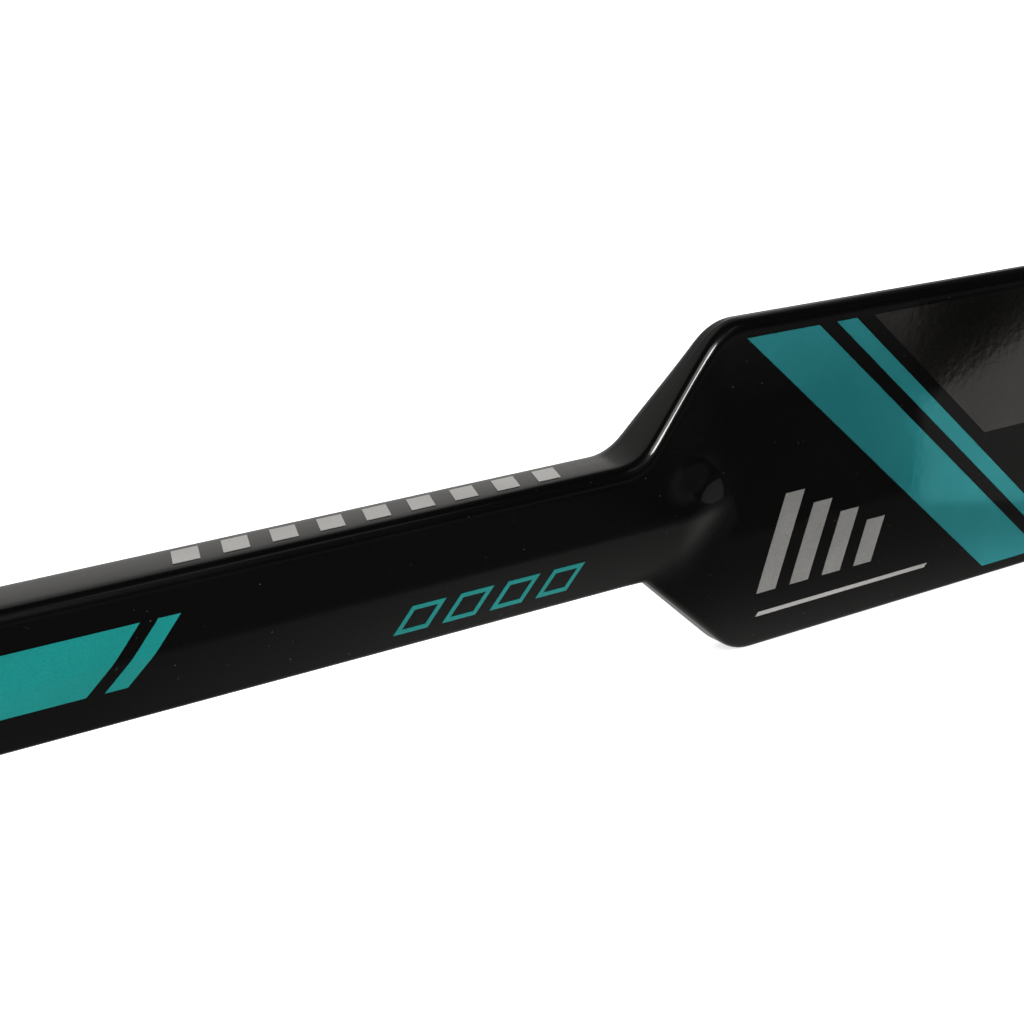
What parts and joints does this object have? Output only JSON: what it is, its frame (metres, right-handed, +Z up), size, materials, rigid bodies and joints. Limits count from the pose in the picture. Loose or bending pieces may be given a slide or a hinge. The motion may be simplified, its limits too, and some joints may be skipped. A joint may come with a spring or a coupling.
{
  "type": "hockey goalie stick",
  "caption": "Goalie's hockey stick: hollow five-sided shaft with an end plug, wide foam-cored paddle and a curved blade set at the lie angle.",
  "frame": {"origin": "middle of the paddle's resting edge, on its flat and in the middle plane of the shaft", "axes": "+X along the stick from butt end to heel, +Y through the thickness from forehand to backhand face, +Z up from the resting edge to the toe side"},
  "size_m": [1.4922, 0.0258, 0.3708],
  "materials": {
    "shaft_coat": "gloss clear coat over black laminate",
    "plug_rubber": "matt moulded",
    "laminate": "raw fibre laminate",
    "foam": "closed cell foam, light and matt",
    "hardwood": "sawn hardwood",
    "teal_film": "teal film under clear coat",
    "silver_film": "silver film under clear coat",
    "foil_panel": "dark grey mirror foil under clear coat"
  },
  "bodies": {
    "stick": {"shaft_tube": "shaft_coat", "neck_spigot": "hardwood", "paddle_front_shell": "shaft_coat", "paddle_back_shell": "shaft_coat", "paddle_core_toe_side": "foam", "paddle_core_middle": "foam", "paddle_core_heel_side": "foam", "paddle_rib_toe_side": "laminate", "paddle_rib_heel_side": "laminate", "heel_tenon": "hardwood", "blade_front_skin": "shaft_coat", "blade_back_skin": "shaft_coat", "blade_edge_rail": "shaft_coat", "blade_core_upper": "foam", "blade_core_lower": "foam", "blade_bridge": "laminate", "shaft_band_film": "teal_film", "shaft_tick_film": "silver_film", "shaft_lozenge_film": "teal_film", "paddle_stripe_film": "teal_film", "paddle_back_stripe_film": "teal_film", "paddle_foil_panel": "foil_panel", "paddle_bar_film": "silver_film", "paddle_pinstripe_film": "silver_film"},
    "plug": {"end_plug": "plug_rubber"}
  },
  "joints": [
    {"name": "plug_pull", "type": "slide", "parent": "stick", "child": "plug", "axis": [-1, 0, 0], "range_m": [0, 0.04]}
  ]
}
